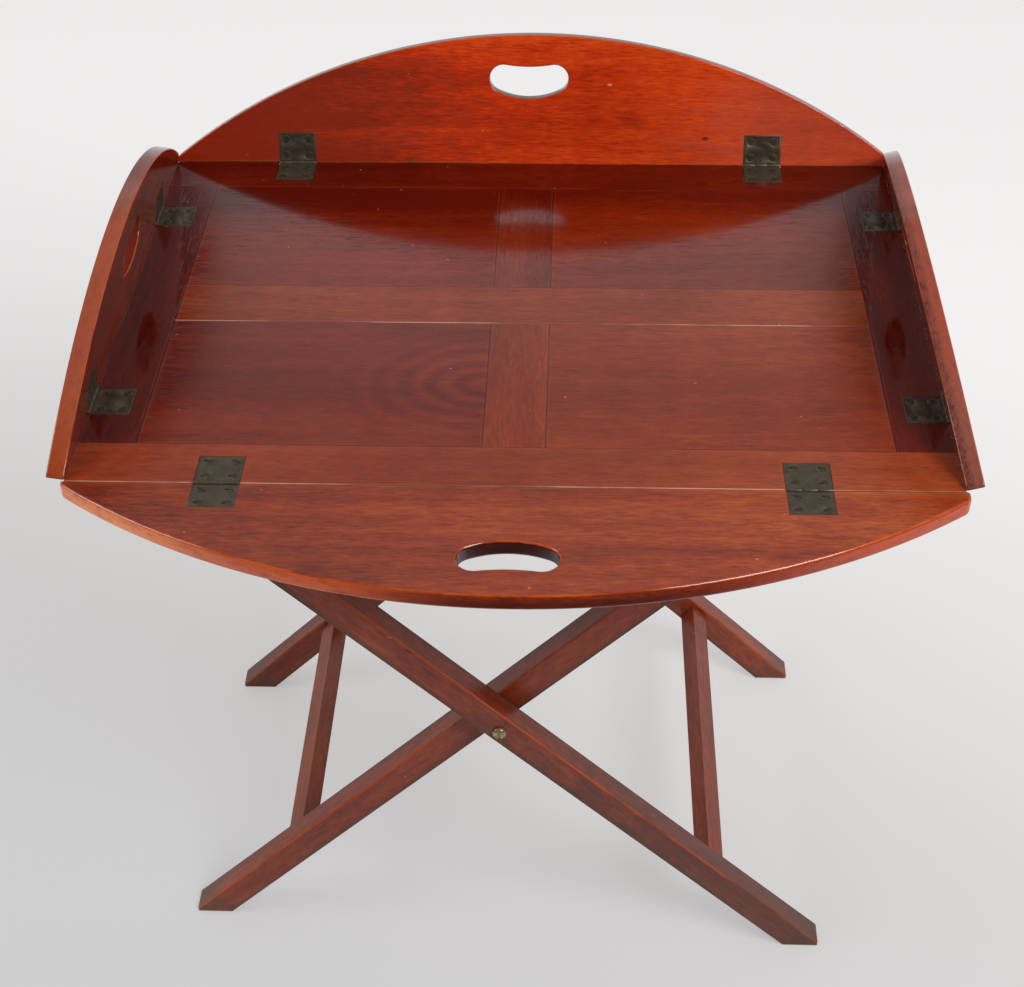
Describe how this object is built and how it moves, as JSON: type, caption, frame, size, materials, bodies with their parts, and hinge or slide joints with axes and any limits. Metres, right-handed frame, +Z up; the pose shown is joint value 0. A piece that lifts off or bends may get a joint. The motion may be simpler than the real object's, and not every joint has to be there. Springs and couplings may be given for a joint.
{
  "type": "butler tray table",
  "caption": "Framed rectangular tray with hinged arc-topped drop sides and kidney-shaped hand holes, resting on a folding crossed-leg stand with webbing straps.",
  "frame": {"origin": "on the floor under the middle of the outline as stored, with the front flap down flat and the other three raised", "axes": "+Z up, +X along the tray's long side to the right as the lowered front flap is faced, +Y from the lowered front flap to the raised back flap"},
  "size_m": [0.7596, 0.7146, 0.7862],
  "materials": {
    "panel_wood": "polished red mahogany",
    "frame_wood": "polished red mahogany",
    "flap_wood": "polished orange-red mahogany, worn on the edges",
    "stand_wood": "stained mahogany, duller than the tray",
    "hinge_brass": "darkened brass",
    "bolt_brass": "aged brass",
    "webbing": "woven jute webbing"
  },
  "bodies": {
    "stand_outer": {"outer_leg_front": "stand_wood", "outer_leg_back": "stand_wood", "outer_stretcher": "stand_wood", "outer_top_rail": "stand_wood", "pivot_bolt_front": "bolt_brass", "pivot_bolt_back": "bolt_brass", "pivot_spacer_front": "bolt_brass", "pivot_spacer_back": "bolt_brass", "pivot_nut_front": "bolt_brass", "pivot_nut_back": "bolt_brass", "webbing_front": "webbing", "webbing_back": "webbing"},
    "stand_inner": {"inner_leg_front": "stand_wood", "inner_leg_back": "stand_wood", "inner_stretcher": "stand_wood", "inner_top_rail": "stand_wood"},
    "tray": {"front_rail": "frame_wood", "back_rail": "frame_wood", "left_stile": "frame_wood", "right_stile": "frame_wood", "mid_rail": "frame_wood", "front_muntin": "frame_wood", "back_muntin": "frame_wood", "panel_front_left": "panel_wood", "panel_front_right": "panel_wood", "panel_back_left": "panel_wood", "panel_back_right": "panel_wood", "front_hinge_1_tray_leaf": "hinge_brass", "front_hinge_1_pin": "hinge_brass", "front_hinge_2_tray_leaf": "hinge_brass", "front_hinge_2_pin": "hinge_brass", "back_hinge_1_tray_leaf": "hinge_brass", "back_hinge_1_pin": "hinge_brass", "back_hinge_2_tray_leaf": "hinge_brass", "back_hinge_2_pin": "hinge_brass", "left_hinge_1_tray_leaf": "hinge_brass", "left_hinge_1_pin": "hinge_brass", "left_hinge_2_tray_leaf": "hinge_brass", "left_hinge_2_pin": "hinge_brass", "right_hinge_1_tray_leaf": "hinge_brass", "right_hinge_1_pin": "hinge_brass", "right_hinge_2_tray_leaf": "hinge_brass", "right_hinge_2_pin": "hinge_brass"},
    "front_flap_leaf_set": {"front_flap": "flap_wood", "front_hinge_1_flap_leaf": "hinge_brass", "front_hinge_2_flap_leaf": "hinge_brass"},
    "back_flap_leaf_set": {"back_flap": "flap_wood", "back_hinge_1_flap_leaf": "hinge_brass", "back_hinge_2_flap_leaf": "hinge_brass"},
    "left_flap_leaf_set": {"left_flap": "flap_wood", "left_hinge_1_flap_leaf": "hinge_brass", "left_hinge_2_flap_leaf": "hinge_brass"},
    "right_flap_leaf_set": {"right_flap": "flap_wood", "right_hinge_1_flap_leaf": "hinge_brass", "right_hinge_2_flap_leaf": "hinge_brass"}
  },
  "joints": [
    {"name": "stand_fold", "type": "hinge", "parent": "stand_outer", "child": "stand_inner", "pos_m": [-0.01707, 0.04187, 0.316], "axis": [0, -1, 0], "range_deg": [0, 78], "deforming": ["webbing_front", "webbing_back"]},
    {"name": "tray_lift", "type": "slide", "parent": "stand_outer", "child": "tray", "axis": [0, 0, 1], "range_m": [0, 0.475]},
    {"name": "front_flap_hinge", "type": "hinge", "parent": "tray", "child": "front_flap_leaf_set", "pos_m": [0, -0.22583, 0.66], "axis": [-1, 0, 0], "range_deg": [0, 90]},
    {"name": "back_flap_hinge", "type": "hinge", "parent": "tray", "child": "back_flap_leaf_set", "pos_m": [0, 0.30957, 0.66], "axis": [-1, 0, 0], "range_deg": [-15, 75]},
    {"name": "left_flap_hinge", "type": "hinge", "parent": "tray", "child": "left_flap_leaf_set", "pos_m": [-0.36497, 0.04187, 0.66], "axis": [0, -1, 0], "range_deg": [0, 99]},
    {"name": "right_flap_hinge", "type": "hinge", "parent": "tray", "child": "right_flap_leaf_set", "pos_m": [0.36543, 0.04187, 0.66], "axis": [0, 1, 0], "range_deg": [0, 106.5]}
  ],
  "couplings": [
    {"joint": "tray_lift", "follows": "stand_fold", "m_per_rad": 0.345}
  ]
}
